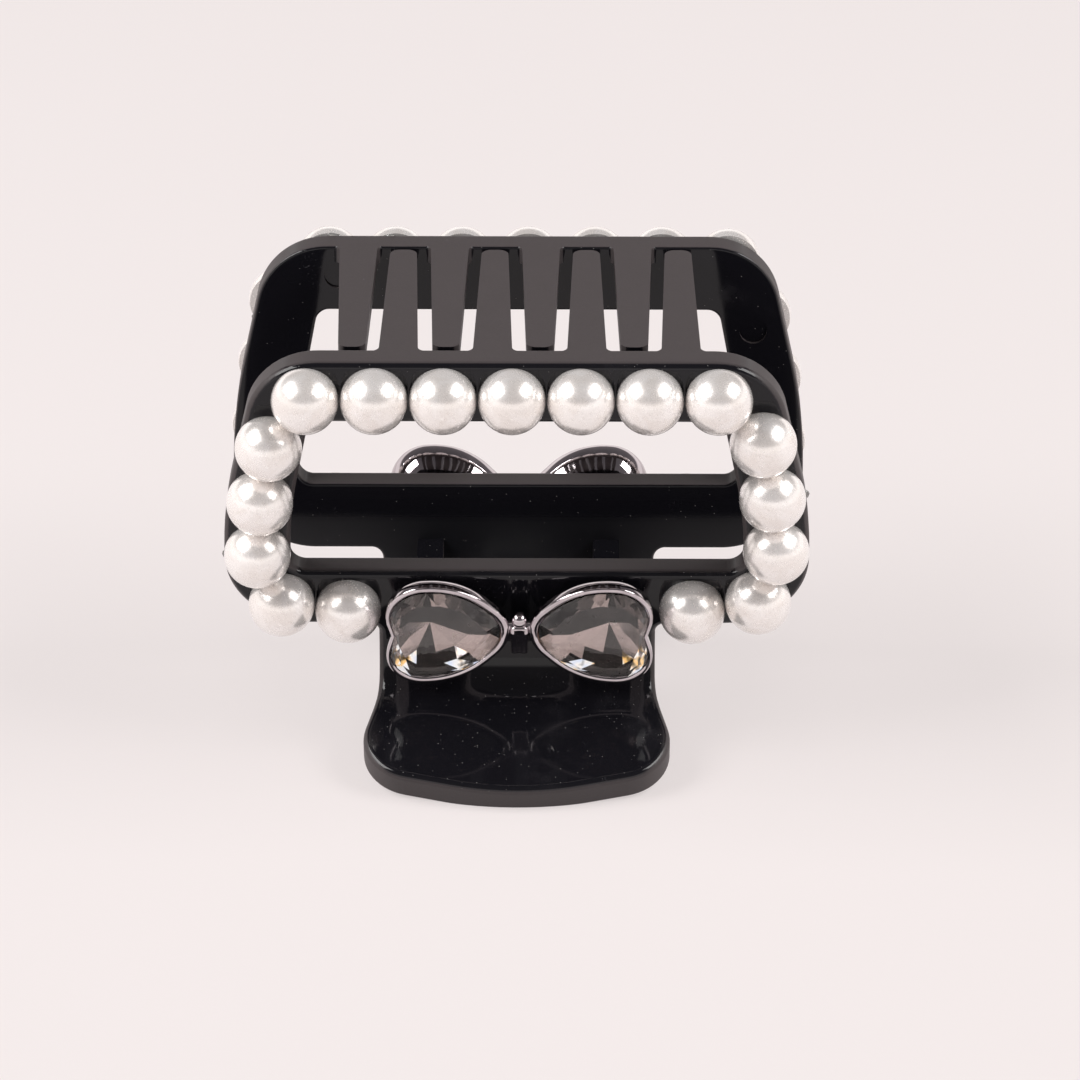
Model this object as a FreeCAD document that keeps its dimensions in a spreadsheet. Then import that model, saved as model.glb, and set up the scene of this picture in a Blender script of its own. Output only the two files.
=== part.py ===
import FreeCAD, Part
import math
import os

import Sketcher
from FreeCAD import Placement, Rotation, Vector

# Hair claw clip. X runs along the clip, Y from the front jaw to the back jaw, Z up to the teeth.
# The origin is on the floor, below the middle of the hinge, with the clip standing on its handles.
# Each jaw is built as the back one, with Y as its distance from the middle of the clip, and the
# front jaw is then turned half round about Z.

DIMENSIONS = {
    # jaw, seen from the side: the outer skin and the wall behind it
    "wall_thickness": 4.6,
    "rim_height": 69.3,
    "skin_top_depth": 21.4,
    "skin_top_height": 72.0,
    "skin_middle_depth": 19.7,
    "skin_middle_height": 50.4,
    "skin_curve_radius": 270.0,
    "bend_depth": 12.06,
    "bend_radius": 9.0,
    "handle_slope": 18.0,
    "handle_end_depth": 33.5,
    "handle_end_height": 4.1,
    "handle_overrun": 4.0,
    # jaw, seen from the front: the frame and the neck under it
    "half_length": 44.0,
    "rim_half_length": 38.0,
    "rim_corner_radius": 11.0,
    "side_break_height": 42.0,
    "side_curve_radius": 74.0,
    "frame_bottom": 20.6,
    "lower_corner_radius": 12.5,
    "neck_half_width": 21.0,
    "neck_fillet": 1.8,
    "neck_end_height": 14.0,
    "opening_top": 58.9,
    "opening_top_half": 30.7,
    "opening_top_radius": 2.2,
    "opening_side_height": 42.0,
    "opening_side_half": 33.9,
    "opening_side_radius": 90.0,
    "opening_bottom": 30.8,
    "opening_bottom_half": 34.3,
    "opening_bottom_radius": 2.5,
    # handle, measured in the plane of its top face
    "handle_flare_start": 11.6,
    "handle_flare_radius": 16.0,
    "handle_corner_half": 25.2,
    "handle_corner_station": 27.0,
    "handle_corner_radius": 8.2,
    "handle_apex_station": 32.8,
    "handle_end_radius": 45.0,
    "handle_trim_reach": 18.1,
    # edges
    "outer_edge_radius": 1.1,
    "inner_edge_radius": 0.4,
    # teeth
    "tooth_count": 4,
    "tooth_pitch": 13.9,
    "tooth_first": -24.3,
    "tooth_root_width": 5.9,
    "tooth_tip_width": 4.0,
    "tooth_root_depth": 18.4,
    "tooth_tip_depth": 15.7,
    "tooth_tip_radius": 1.5,
    "tooth_root_fillet": 0.8,
    "tooth_thickness": 2.5,
    # hinge
    "hinge_height": 18.0,
    "lug_half_height": 4.0,
    "lug_corner_radius": 3.9,
    "lug_root_depth": 11.5,
    "lug_thickness": 4.0,
    "outer_lug_start": 11.6,
    "inner_lug_start": 7.3,
    "pin_radius": 1.0,
    "pin_running_gap": 0.05,
    "pin_half_length": 16.5,
    "pin_head_radius": 1.7,
    "pin_head_thickness": 0.7,
    # moulding marks
    "ejector_radius": 2.1,
    "ejector_sink": 0.25,
    "ejector_side_x": 36.0,
    "ejector_side_height": 55.7,
    "ejector_rim_x": -27.5,
    "ejector_rim_height": 64.6,
    # spring
    "wire_radius": 0.55,
    "coil_radius": 3.0,
    "coil_pitch": 1.35,
    "coil_whole_turns": 6.0,
    "spring_rest_gap": 0.05,
    "spring_foot_length": 8.0,
    # pearls
    "pearl_radius": 5.0,
    "pearl_stand_off": 1.5,
    "pearl_top_pitch": 10.15,
    "pearl_side_pitch": 10.06,
    "pearls_past_middle_on_top": 3,
    "pearls_down_a_side": 5,
    "front_pearl_middle_x": 0.6,
    "back_pearl_middle_x": 1.6,
    "front_pearl_side_x": 38.9,
    "back_pearl_side_x": 39.6,
    "pearl_end_x": 18.0,
    "pearl_row_height": 24.7,
    "pearl_side_break": 41.5,
    "pearl_top_x": 35.3,
    "front_pearl_top_height": 63.9,
    "back_pearl_top_height": 64.5,
    "pearl_lower_radius": 7.5,
    "pearl_upper_radius": 6.0,
    "pearl_side_radius": 75.0,
    # bow
    "front_bow_height": 24.0,
    "back_bow_height": 24.5,
    "front_bow_shift": -0.4,
    "back_bow_shift": 0.0,
    "bow_depth": 5.9,
    "cup_mid_depth": 2.7,
    "cup_back_scale": 0.4,
    "cup_mid_scale": 0.95,
    "cup_hole_scale": 0.915,
    "cup_hole_depth": 2.8,
    "heart_offset": 1.6,
    "heart_middle": 11.5,
    "heart_tip_out": -2.4,
    "heart_tip_radius": 6.0,
    "heart_droop": 0.0585,
    "heart_shoulder_out": 6.8,
    "heart_shoulder_up": 9.6,
    "heart_shoulder_radius": 13.0,
    "heart_lobe_out": 20.3,
    "heart_lobe_up": 9.6,
    "heart_lobe_radius": 5.7,
    "heart_notch_out": 17.7,
    "heart_notch_radius": 0.8,
    "knot_radius": 1.25,
    "knot_barrel_radius": 1.65,
    "knot_tail_radius": 1.15,
    "knot_length": 6.0,
    "knot_rise": 1.3,
    "link_radius": 0.7,
    "link_half_length": 2.4,
    "stone_girdle_scale": 0.88,
    "stone_table_scale": 0.56,
    "stone_culet_scale": 0.3,
    "stone_pavilion": 2.2,
    "stone_crown": 1.1,
}

AXIS_X = Vector(1, 0, 0)
AXIS_Y = Vector(0, 1, 0)
AXIS_Z = Vector(0, 0, 1)
SIDE_VIEW = Rotation(Vector(1, 1, 1), 120)
FRONT_VIEW = Rotation(AXIS_X, 90)
HALF_TURN = Placement(Vector(), Rotation(AXIS_Z, 180))
CLEAR_OF_ALL = 60.0
BELOW_FLOOR = 5.0
CUTTER_LENGTH = 2.0
PATH_STEPS = 4000
SKIN_TOLERANCE = 0.01

doc = FreeCAD.newDocument("claw_clip")
sheet = doc.addObject("Spreadsheet::Sheet", "Dimensions")


class Size:
    """A length with the sheet formula that drives it, so that both stay in step."""

    def __init__(self, value, formula):
        self.value = value
        self.formula = formula

    def _join(self, other, sign, value):
        return Size(value, f"({self.formula} {sign} {as_size(other).formula})")

    def __add__(self, other):
        return self._join(other, "+", self.value + as_size(other).value)

    def __sub__(self, other):
        return self._join(other, "-", self.value - as_size(other).value)

    def __mul__(self, other):
        return self._join(other, "*", self.value * as_size(other).value)

    def __truediv__(self, other):
        return self._join(other, "/", self.value / as_size(other).value)

    def __neg__(self):
        return Size(-self.value, f"(0 - {self.formula})")


def as_size(number):
    return number if isinstance(number, Size) else Size(float(number), repr(float(number)))


def dim(alias):
    return Size(DIMENSIONS[alias], f"Dimensions.{alias}")


def fill_sheet():
    for row, (alias, value) in enumerate(DIMENSIONS.items(), start=1):
        sheet.set(f"A{row}", alias.replace("_", " "))
        sheet.set(f"B{row}", str(value))
        sheet.setAlias(f"B{row}", alias)
    doc.recompute()


def bind(obj, prop, size):
    obj.setExpression(prop, as_size(size).formula)


# ---------------------------------------------------------------- sketches and solids

def corner_arc(before, corner, after, radius):
    """The arc that rounds a corner, with the two points where it meets the sides."""
    back = (before - corner).normalize()
    ahead = (after - corner).normalize()
    half_angle = back.getAngle(ahead) / 2
    reach = radius / math.tan(half_angle)
    start = corner + back * reach
    end = corner + ahead * reach
    bisector = (back + ahead).normalize()
    centre = corner + bisector * (radius / math.sin(half_angle))
    middle = centre - bisector * radius
    return start, Part.Arc(start, middle, end), end


def rounded_sketch(name, corners, placement, closed=True):
    """A sketch of straight sides through the corners (x, y, radius or None), bound to the sheet."""
    sketch = doc.addObject("Sketcher::SketchObject", name)
    sketch.Placement = placement
    corners = [(as_size(x), as_size(y), radius) for x, y, radius in corners]
    points = [Vector(x.value, y.value, 0) for x, y, _ in corners]
    count = len(points)
    marks = [fixed_point(sketch, x, y) for x, y, _ in corners]
    rounds = {}
    starts = list(points)
    ends = list(points)
    for index, (_, _, radius) in enumerate(corners):
        if radius is None:
            continue
        radius = as_size(radius)
        before = points[index - 1]
        after = points[(index + 1) % count]
        ends[index], arc, starts[index] = corner_arc(before, points[index], after, radius.value)
        rounds[index] = (sketch.addGeometry(arc, False), radius)
    side_count = count if closed else count - 1
    sides = []
    for index in range(side_count):
        following = (index + 1) % count
        sides.append(sketch.addGeometry(Part.LineSegment(starts[index], ends[following]), False))
        hold_side(sketch, sides[index], marks[index], index in rounds, 1)
        hold_side(sketch, sides[index], marks[following], following in rounds, 2)
    for index, (arc, radius) in rounds.items():
        hold_round(sketch, sides[index - 1], arc, sides[index], radius)
    return sketch


def fixed_point(sketch, x, y):
    """A construction point held at x and y from the sketch's origin."""
    mark = sketch.addGeometry(Part.Point(Vector(x.value, y.value, 0)), True)
    for kind, size in (("DistanceX", x), ("DistanceY", y)):
        number = sketch.addConstraint(Sketcher.Constraint(kind, -1, 1, mark, 1, size.value))
        bind(sketch, f"Constraints[{number}]", size)
    return mark


def hold_side(sketch, side, mark, is_round, end):
    """A side starts on its corner, or points at it where the corner is rounded."""
    if is_round:
        sketch.addConstraint(Sketcher.Constraint("PointOnObject", mark, 1, side))
    else:
        sketch.addConstraint(Sketcher.Constraint("Coincident", side, end, mark, 1))


def hold_round(sketch, before, arc, after, radius):
    """An arc of a bound radius, tangent to the side before it and the side after it."""
    arc_start = sketch.getPoint(arc, 1)
    first = 1 if arc_start.distanceToPoint(sketch.getPoint(before, 2)) < SKIN_TOLERANCE else 2
    sketch.addConstraint(Sketcher.Constraint("Tangent", before, 2, arc, first))
    sketch.addConstraint(Sketcher.Constraint("Tangent", arc, 3 - first, after, 1))
    number = sketch.addConstraint(Sketcher.Constraint("Radius", arc, radius.value))
    bind(sketch, f"Constraints[{number}]", radius)


def mirrored(right_side):
    """A closed outline from the corners of its right half, top to bottom."""
    left_side = [(-as_size(x), y, radius) for x, y, radius in reversed(right_side)]
    return right_side + left_side


def extrude(name, section, direction, length, symmetric=False):
    solid = doc.addObject("Part::Extrusion", name)
    solid.Base = section
    solid.DirMode = "Custom"
    solid.Dir = direction
    solid.Solid = True
    solid.Symmetric = symmetric
    bind(solid, "LengthFwd", length)
    return solid


def boolean(kind, name, base, tool):
    result = doc.addObject(kind, name)
    result.Base = base
    result.Tool = tool
    result.Refine = True
    return result


def fuse(name, solids):
    result = doc.addObject("Part::MultiFuse", name)
    result.Shapes = solids
    result.Refine = True
    return result


def cylinder(name, radius, length, placement):
    solid = doc.addObject("Part::Cylinder", name)
    bind(solid, "Radius", radius)
    bind(solid, "Height", length)
    solid.Placement = placement
    return solid


def round_edges(name, base, radius_of):
    """Round each edge by the radius that radius_of(shape, edge) gives, or leave it where it gives None."""
    doc.recompute()
    shape = base.Shape
    picked = [(number, radius_of(shape, edge)) for number, edge in enumerate(shape.Edges, start=1)]
    result = doc.addObject("Part::Fillet", name)
    result.Base = base
    result.Edges = [(number, radius, radius) for number, radius in picked if radius is not None]
    return result


# ---------------------------------------------------------------- jaw

def skin_sketch(name):
    """The outer skin from above the rim, down the frame, round the bend and out along the handle."""
    end_depth = dim("handle_end_depth")
    end_height = dim("handle_end_height")
    fall = Size(math.tan(math.radians(DIMENSIONS["handle_slope"])), "tan(Dimensions.handle_slope * 1 deg)")
    bend_height = end_height + (end_depth - dim("bend_depth")) * fall
    overrun = dim("handle_overrun")
    corners = [
        (dim("skin_top_depth"), dim("skin_top_height"), None),
        (dim("skin_middle_depth"), dim("skin_middle_height"), dim("skin_curve_radius")),
        (dim("bend_depth"), bend_height, dim("bend_radius")),
        (end_depth + overrun, end_height - overrun * fall, None),
    ]
    return rounded_sketch(name, corners, Placement(Vector(), SIDE_VIEW), closed=False)


def frame_outline():
    neck = dim("neck_half_width")
    return mirrored([
        (dim("rim_half_length"), dim("rim_height"), dim("rim_corner_radius")),
        (dim("half_length"), dim("side_break_height"), dim("side_curve_radius")),
        (dim("half_length"), dim("frame_bottom"), dim("lower_corner_radius")),
        (neck, dim("frame_bottom"), dim("neck_fillet")),
        (neck, dim("neck_end_height"), None),
        (CLEAR_OF_ALL, dim("neck_end_height"), None),
        (CLEAR_OF_ALL, -BELOW_FLOOR, None),
    ])


def opening_outline():
    return mirrored([
        (dim("opening_top_half"), dim("opening_top"), dim("opening_top_radius")),
        (dim("opening_side_half"), dim("opening_side_height"), dim("opening_side_radius")),
        (dim("opening_bottom_half"), dim("opening_bottom"), dim("opening_bottom_radius")),
    ])


def handle_trim_sketch(name):
    """What is cut away round the handle: a horseshoe that leaves the flared paddle."""
    neck = dim("neck_half_width")
    right_side = [
        (neck, -CLEAR_OF_ALL, None),
        (neck, dim("handle_flare_start"), dim("handle_flare_radius")),
        (dim("handle_corner_half"), dim("handle_corner_station"), dim("handle_corner_radius")),
    ]
    left_side = [(-x, y, radius) for x, y, radius in reversed(right_side)]
    apex = [(0, dim("handle_apex_station"), dim("handle_end_radius"))]
    surround = [
        (-CLEAR_OF_ALL, -CLEAR_OF_ALL, None),
        (-CLEAR_OF_ALL, CLEAR_OF_ALL, None),
        (CLEAR_OF_ALL, CLEAR_OF_ALL, None),
        (CLEAR_OF_ALL, -CLEAR_OF_ALL, None),
    ]
    tilt = Rotation(AXIS_X, -DIMENSIONS["handle_slope"])
    normal = tilt.multVec(AXIS_Z)
    placement = Placement(normal * -CLEAR_OF_ALL, tilt)
    return rounded_sketch(name, right_side + apex + left_side + surround, placement), normal


def jaw_blank(side):
    """The bent wall with its outline, handle and opening cut, and its edges rounded."""
    skin = skin_sketch(f"{side}_skin")
    section = doc.addObject("Part::Offset2D", f"{side}_section")
    section.Source = skin
    section.Mode = "Skin"
    section.Fill = True
    bind(section, "Value", dim("wall_thickness"))
    band = extrude(f"{side}_band", section, AXIS_X, CLEAR_OF_ALL * 2, symmetric=True)
    front = Placement(Vector(), FRONT_VIEW)
    outline = rounded_sketch(f"{side}_outline", frame_outline(), front)
    outline_prism = extrude(f"{side}_outline_prism", outline, AXIS_Y, CLEAR_OF_ALL * 2, symmetric=True)
    framed = boolean("Part::Common", f"{side}_framed", band, outline_prism)
    trim, normal = handle_trim_sketch(f"{side}_handle_trim")
    reach = dim("handle_trim_reach") + CLEAR_OF_ALL
    trim_prism = extrude(f"{side}_trim_prism", trim, normal, reach)
    trimmed = boolean("Part::Cut", f"{side}_trimmed", framed, trim_prism)
    window = rounded_sketch(f"{side}_window", opening_outline(), front)
    window_prism = extrude(f"{side}_window_prism", window, AXIS_Y, CLEAR_OF_ALL * 2, symmetric=True)
    open_frame = boolean("Part::Cut", f"{side}_open_frame", trimmed, window_prism)
    return round_edges(f"{side}_rounded", open_frame, skin_edge_radius(skin))


def skin_edge_radius(skin):
    """Outer skin edges get the large radius, inner skin edges the small one."""
    wall = DIMENSIONS["wall_thickness"]

    def distance(face):
        u_low, u_high, v_low, v_high = face.ParameterRange
        point = face.valueAt((u_low + u_high) / 2, (v_low + v_high) / 2)
        point.x = 0
        return Part.Vertex(point).distToShape(skin.Shape)[0]

    def radius_of(shape, edge):
        faces = shape.ancestorsOfType(edge, Part.Face)
        distances = [distance(face) for face in faces]
        outer = sum(value < SKIN_TOLERANCE for value in distances)
        inner = sum(abs(value - wall) < SKIN_TOLERANCE for value in distances)
        if outer == 1:
            return DIMENSIONS["outer_edge_radius"]
        if inner == 1:
            return DIMENSIONS["inner_edge_radius"]
        return None

    return radius_of


def tooth(side, index):
    """A flat tapered tooth from the rim across to the other jaw, level with the rim's top."""
    middle = dim("tooth_first") + dim("tooth_pitch") * index
    root_half = dim("tooth_root_width") / 2
    tip_half = dim("tooth_tip_width") / 2
    root = dim("tooth_root_depth")
    tip = -dim("tooth_tip_depth")
    corners = [
        (middle - root_half, root, None),
        (middle + root_half, root, None),
        (middle + tip_half, tip, dim("tooth_tip_radius")),
        (middle - tip_half, tip, dim("tooth_tip_radius")),
    ]
    placement = Placement(AXIS_Z * DIMENSIONS["rim_height"], Rotation())
    outline = rounded_sketch(f"{side}_tooth_outline_{index}", corners, placement)
    return extrude(f"{side}_tooth_{index}", outline, -AXIS_Z, dim("tooth_thickness"))


def lug(side, start, mirror):
    """A hinge lug that runs from the inner face of the wall to the pin."""
    half_height = dim("lug_half_height")
    low = dim("hinge_height") - half_height
    high = dim("hinge_height") + half_height
    corners = [
        (dim("lug_root_depth"), high, None),
        (-half_height, high, dim("lug_corner_radius")),
        (-half_height, low, dim("lug_corner_radius")),
        (dim("lug_root_depth"), low, None),
    ]
    name = f"{side}_lug_{'left' if mirror < 0 else 'right'}"
    placement = Placement(AXIS_X * (mirror * DIMENSIONS[start]), SIDE_VIEW)
    outline = rounded_sketch(f"{name}_outline", corners, placement)
    return extrude(name, outline, AXIS_X * mirror, dim("lug_thickness"))


def ejector_mark(side, label, x, height):
    """A shallow round moulding mark on the inner face of the wall."""
    depth = inner_depth(DIMENSIONS[height]) + DIMENSIONS["ejector_sink"]
    start = Vector(DIMENSIONS[x], depth, DIMENSIONS[height])
    placement = Placement(start, Rotation(AXIS_Z, -AXIS_Y))
    return cylinder(f"{side}_ejector_{label}", dim("ejector_radius"), CUTTER_LENGTH, placement)


def build_jaw(side, lug_start, bore_radius):
    blank = jaw_blank(side)
    additions = [tooth(side, index) for index in range(int(DIMENSIONS["tooth_count"]))]
    additions += [lug(side, lug_start, mirror) for mirror in (-1, 1)]
    whole = fuse(f"{side}_whole", [blank] + additions)
    bore_start = Vector(-CLEAR_OF_ALL, 0, DIMENSIONS["hinge_height"])
    bore_place = Placement(bore_start, Rotation(AXIS_Z, AXIS_X))
    bore = cylinder(f"{side}_bore", bore_radius, CLEAR_OF_ALL * 2, bore_place)
    standing_flat = doc.addObject("Part::Box", f"{side}_standing_flat")
    standing_flat.Length = CLEAR_OF_ALL * 2
    standing_flat.Width = CLEAR_OF_ALL
    standing_flat.Height = BELOW_FLOOR
    standing_flat.Placement = Placement(Vector(-CLEAR_OF_ALL, 0, -BELOW_FLOOR), Rotation())
    marks = [
        ejector_mark(side, "side", "ejector_side_x", "ejector_side_height"),
        ejector_mark(side, "rim", "ejector_rim_x", "ejector_rim_height"),
    ]
    cutters = fuse(f"{side}_cutters", [bore, standing_flat] + marks)
    machined = boolean("Part::Cut", f"{side}_machined", whole, cutters)
    jaw = round_edges(f"{side}_jaw", machined, tooth_root_radius)
    if side == "front":
        jaw.Placement = HALF_TURN
    return jaw


def tooth_root_radius(shape, edge):
    """The upright edges where the teeth leave the wall."""
    box = edge.BoundBox
    least_height = DIMENSIONS["tooth_thickness"] - DIMENSIONS["inner_edge_radius"] - SKIN_TOLERANCE
    upright = box.XLength < SKIN_TOLERANCE and box.ZLength > least_height
    at_rim = box.ZMin > DIMENSIONS["rim_height"] - DIMENSIONS["tooth_thickness"] - SKIN_TOLERANCE
    at_wall = box.YMin > DIMENSIONS["tooth_tip_depth"] and box.YMax < DIMENSIONS["tooth_root_depth"]
    return DIMENSIONS["tooth_root_fillet"] if upright and at_rim and at_wall else None


# ---------------------------------------------------------------- places on the skin

def skin_point(height):
    """The depth of the outer skin at a height on the frame, and its outward direction there."""
    skin = doc.getObject("back_skin").Shape
    level = Part.makeLine(Vector(0, 0, height), Vector(0, CLEAR_OF_ALL, height))
    place = skin.distToShape(level)[1][0][0]
    edge = min(skin.Edges, key=lambda part: part.distToShape(Part.Vertex(place))[0])
    along = edge.tangentAt(edge.Curve.parameter(place))
    outward = Vector(0, abs(along.z), -abs(along.y))
    return place, outward


def inner_depth(height):
    place, outward = skin_point(height)
    return place.y - DIMENSIONS["wall_thickness"] / outward.y


def placed(side, placement):
    """A placement on the back jaw, or its copy on the front jaw."""
    return HALF_TURN.multiply(placement) if side == "front" else placement


# ---------------------------------------------------------------- pearls

def pearl_line(side):
    """The middle of the frame's band, from one end of the pearl row round the top to the other."""
    low = dim("pearl_row_height")
    reach = dim(f"{side}_pearl_side_x")
    right_side = [
        (dim("pearl_end_x"), low, None),
        (reach, low, dim("pearl_lower_radius")),
        (reach, dim("pearl_side_break"), dim("pearl_side_radius")),
        (dim("pearl_top_x"), dim(f"{side}_pearl_top_height"), dim("pearl_upper_radius")),
    ]
    left_side = [(-x, y, radius) for x, y, radius in reversed(right_side)]
    front = Placement(Vector(), FRONT_VIEW)
    return rounded_sketch(f"{side}_pearl_line", right_side + left_side, front, closed=False)


def walk(points):
    """Spots from the first point on, each a straight pitch away from the one before."""
    pitches = [DIMENSIONS["pearl_top_pitch"]] * DIMENSIONS["pearls_past_middle_on_top"]
    pitches += [DIMENSIONS["pearl_side_pitch"]] * DIMENSIONS["pearls_down_a_side"]
    spots = [points[0]]
    rest = iter(points)
    for pitch in pitches:
        spots.append(next(point for point in rest if point.distanceToPoint(spots[-1]) >= pitch))
    return spots


def pearl_spots(side, line):
    """The places of a row's pearls, worked out from its middle one down both sides."""
    points = Part.Wire(Part.__sortEdges__(line.Shape.Edges)).discretize(Number=PATH_STEPS)
    if points[0].x > 0:
        points.reverse()
    middle = Vector(DIMENSIONS[f"{side}_pearl_middle_x"], 0, DIMENSIONS[f"{side}_pearl_top_height"])
    start = min(range(len(points)), key=lambda index: points[index].distanceToPoint(middle))
    return walk(points[start::-1])[:0:-1] + walk(points[start:])


def build_pearls(side, line):
    """Half-round pearls with a flat back along the line."""
    spots = pearl_spots(side, line)
    stand_off = dim("pearl_stand_off")
    flat_angle = Size(
        -math.degrees(math.asin(DIMENSIONS["pearl_stand_off"] / DIMENSIONS["pearl_radius"])),
        "(0 deg - asin(Dimensions.pearl_stand_off / Dimensions.pearl_radius))",
    )
    pearls = []
    for number, spot in enumerate(spots, start=1):
        surface, outward = skin_point(spot.z)
        centre = Vector(spot.x, surface.y, surface.z) + outward * stand_off.value
        pearl = doc.addObject("Part::Sphere", f"{side}_pearl_{number:02d}")
        bind(pearl, "Radius", dim("pearl_radius"))
        bind(pearl, "Angle1", flat_angle)
        pearl.Placement = placed(side, Placement(centre, Rotation(AXIS_Z, outward)))
        pearls.append(pearl)
    return pearls


# ---------------------------------------------------------------- bow

def heart_sketch(name, scale, placement, mirror):
    """A heart on its side: the tip towards the knot, the lobes and the notch away from it."""
    middle = dim("heart_middle")

    def at(out, up, radius):
        reach = middle + (out - middle) * scale
        height = as_size(up) * scale - reach * dim("heart_droop")
        return (reach + dim("heart_offset")) * mirror, height, radius * scale

    def half(side_of_axis):
        shoulder_up = dim("heart_shoulder_up") * side_of_axis
        lobe_up = dim("heart_lobe_up") * side_of_axis
        return [
            at(dim("heart_shoulder_out"), shoulder_up, dim("heart_shoulder_radius")),
            at(dim("heart_lobe_out"), lobe_up, dim("heart_lobe_radius")),
        ]

    tip = [at(dim("heart_tip_out"), 0, dim("heart_tip_radius"))]
    notch = [at(dim("heart_notch_out"), 0, dim("heart_notch_radius"))]
    return rounded_sketch(name, tip + half(1) + notch + half(-1)[::-1], placement)


def loft(name, sections, ruled=True):
    solid = doc.addObject("Part::Loft", name)
    solid.Sections = sections
    solid.Solid = True
    solid.Ruled = ruled
    return solid


def bow_frame(side):
    """Where the bow sits: X along the clip, Y up the jaw, Z outward from its skin."""
    place, outward = skin_point(DIMENSIONS[f"{side}_bow_height"])
    place.x = DIMENSIONS[f"{side}_bow_shift"]
    up_skin = outward.cross(AXIS_X)
    if up_skin.z < 0:
        up_skin = -up_skin
    across = up_skin.cross(outward)
    return placed(side, Placement(place, Rotation(across, up_skin, outward, "ZXY")))


def lifted(frame, height):
    return frame.multiply(Placement(AXIS_Z * height, Rotation()))


def heart_stack(name, frame, mirror, levels):
    """A solid through hearts of the given scale at the given heights."""
    sections = [
        heart_sketch(f"{name}_{number}", scale, lifted(frame, height), mirror)
        for number, (scale, height) in enumerate(levels, start=1)
    ]
    return loft(name, sections)


def build_bow(side):
    """The cast setting, with a cup for each stone and the knot between them, and the two stones."""
    frame = bow_frame(side)
    rim = DIMENSIONS["bow_depth"]
    floor = rim - DIMENSIONS["cup_hole_depth"]
    girdle = floor + DIMENSIONS["stone_pavilion"]
    table = girdle + DIMENSIONS["stone_crown"]
    cups = []
    stones = []
    for mirror in (-1, 1):
        label = "right" if (mirror < 0) == (side == "back") else "left"
        name = f"{side}_{label}"
        cup_levels = [
            (dim("cup_back_scale"), 0.0),
            (dim("cup_mid_scale"), DIMENSIONS["cup_mid_depth"]),
            (as_size(1.0), rim),
        ]
        cup = heart_stack(f"{name}_cup", frame, mirror, cup_levels)
        hole_place = lifted(frame, floor)
        hole_outline = heart_sketch(f"{name}_hole_outline", dim("cup_hole_scale"), hole_place, mirror)
        outward = frame.Rotation.multVec(AXIS_Z)
        hole = extrude(f"{name}_hole", hole_outline, outward, CLEAR_OF_ALL)
        cups.append(boolean("Part::Cut", f"{name}_hollow_cup", cup, hole))
        stone_levels = [
            (dim("stone_culet_scale"), floor),
            (dim("stone_girdle_scale"), girdle),
            (dim("stone_table_scale"), table),
        ]
        stones.append(heart_stack(f"{name}_stone", frame, mirror, stone_levels))
    setting = fuse(f"{side}_bow_setting", cups + knot(side, frame, rim))
    return [setting] + stones


def knot(side, frame, rim):
    """A round head over a tapered tail, linked to the tips of both hearts."""
    height = rim - DIMENSIONS["knot_barrel_radius"]
    head_place = Placement(Vector(0, DIMENSIONS["knot_rise"], height), Rotation())
    head = doc.addObject("Part::Sphere", f"{side}_knot_head")
    bind(head, "Radius", dim("knot_radius"))
    head.Placement = frame.multiply(head_place)
    tail = doc.addObject("Part::Cone", f"{side}_knot_tail")
    bind(tail, "Radius1", dim("knot_barrel_radius"))
    bind(tail, "Radius2", dim("knot_tail_radius"))
    bind(tail, "Height", dim("knot_length"))
    tail.Placement = frame.multiply(Placement(head_place.Base, Rotation(AXIS_Z, -AXIS_Y)))
    link_start = Placement(Vector(-DIMENSIONS["link_half_length"], 0, height), Rotation(AXIS_Z, AXIS_X))
    link_place = frame.multiply(link_start)
    link = cylinder(f"{side}_link", dim("link_radius"), dim("link_half_length") * 2, link_place)
    return [head, tail, link]


# ---------------------------------------------------------------- hinge

def build_pin():
    """A straight pin with a flat head at each end, outside the outer lugs."""
    half = dim("pin_half_length")
    height = DIMENSIONS["hinge_height"]
    along = Rotation(AXIS_Z, AXIS_X)
    shank_place = Placement(Vector(-half.value, 0, height), along)
    shank = cylinder("pin_shank", dim("pin_radius"), half * 2, shank_place)
    heads = []
    for label, mirror in (("left", -1), ("right", 1)):
        start = Vector(mirror * (half.value - DIMENSIONS["pin_head_thickness"]), 0, height)
        turn = Rotation(AXIS_Z, AXIS_X * mirror)
        head_place = Placement(start, turn)
        name = f"pin_head_{label}"
        heads.append(cylinder(name, dim("pin_head_radius"), dim("pin_head_thickness"), head_place))
    return fuse("hinge_pin", [shank] + heads)


def bend_axis():
    """The centre of the bend between the frame and the handle."""
    radius = DIMENSIONS["bend_radius"]
    arcs = [edge for edge in doc.getObject("back_skin").Shape.Edges if hasattr(edge.Curve, "Radius")]
    return min(arcs, key=lambda edge: abs(edge.Curve.Radius - radius)).Curve.Center


def spring_leg(start, ahead, inward, wrap, turn):
    """A leg from the coil to the bend, round the bend's inner face and on under the handle."""
    flat_ahead = Vector(0, ahead.y, ahead.z)
    reach = (bend_axis() - start).dot(flat_ahead) / flat_ahead.Length ** 2
    touch = start + ahead * reach
    centre = touch + inward * wrap
    middle, end = [centre - inward * (wrap * math.cos(angle)) + ahead * (wrap * math.sin(angle))
                   for angle in (turn / 2, turn)]
    onward = (ahead * math.cos(turn) + inward * math.sin(turn)).normalize()
    foot = end + onward * DIMENSIONS["spring_foot_length"]
    return [
        Part.LineSegment(start, touch).toShape(),
        Part.Arc(touch, middle, end).toShape(),
        Part.LineSegment(end, foot).toShape(),
    ]


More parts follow.
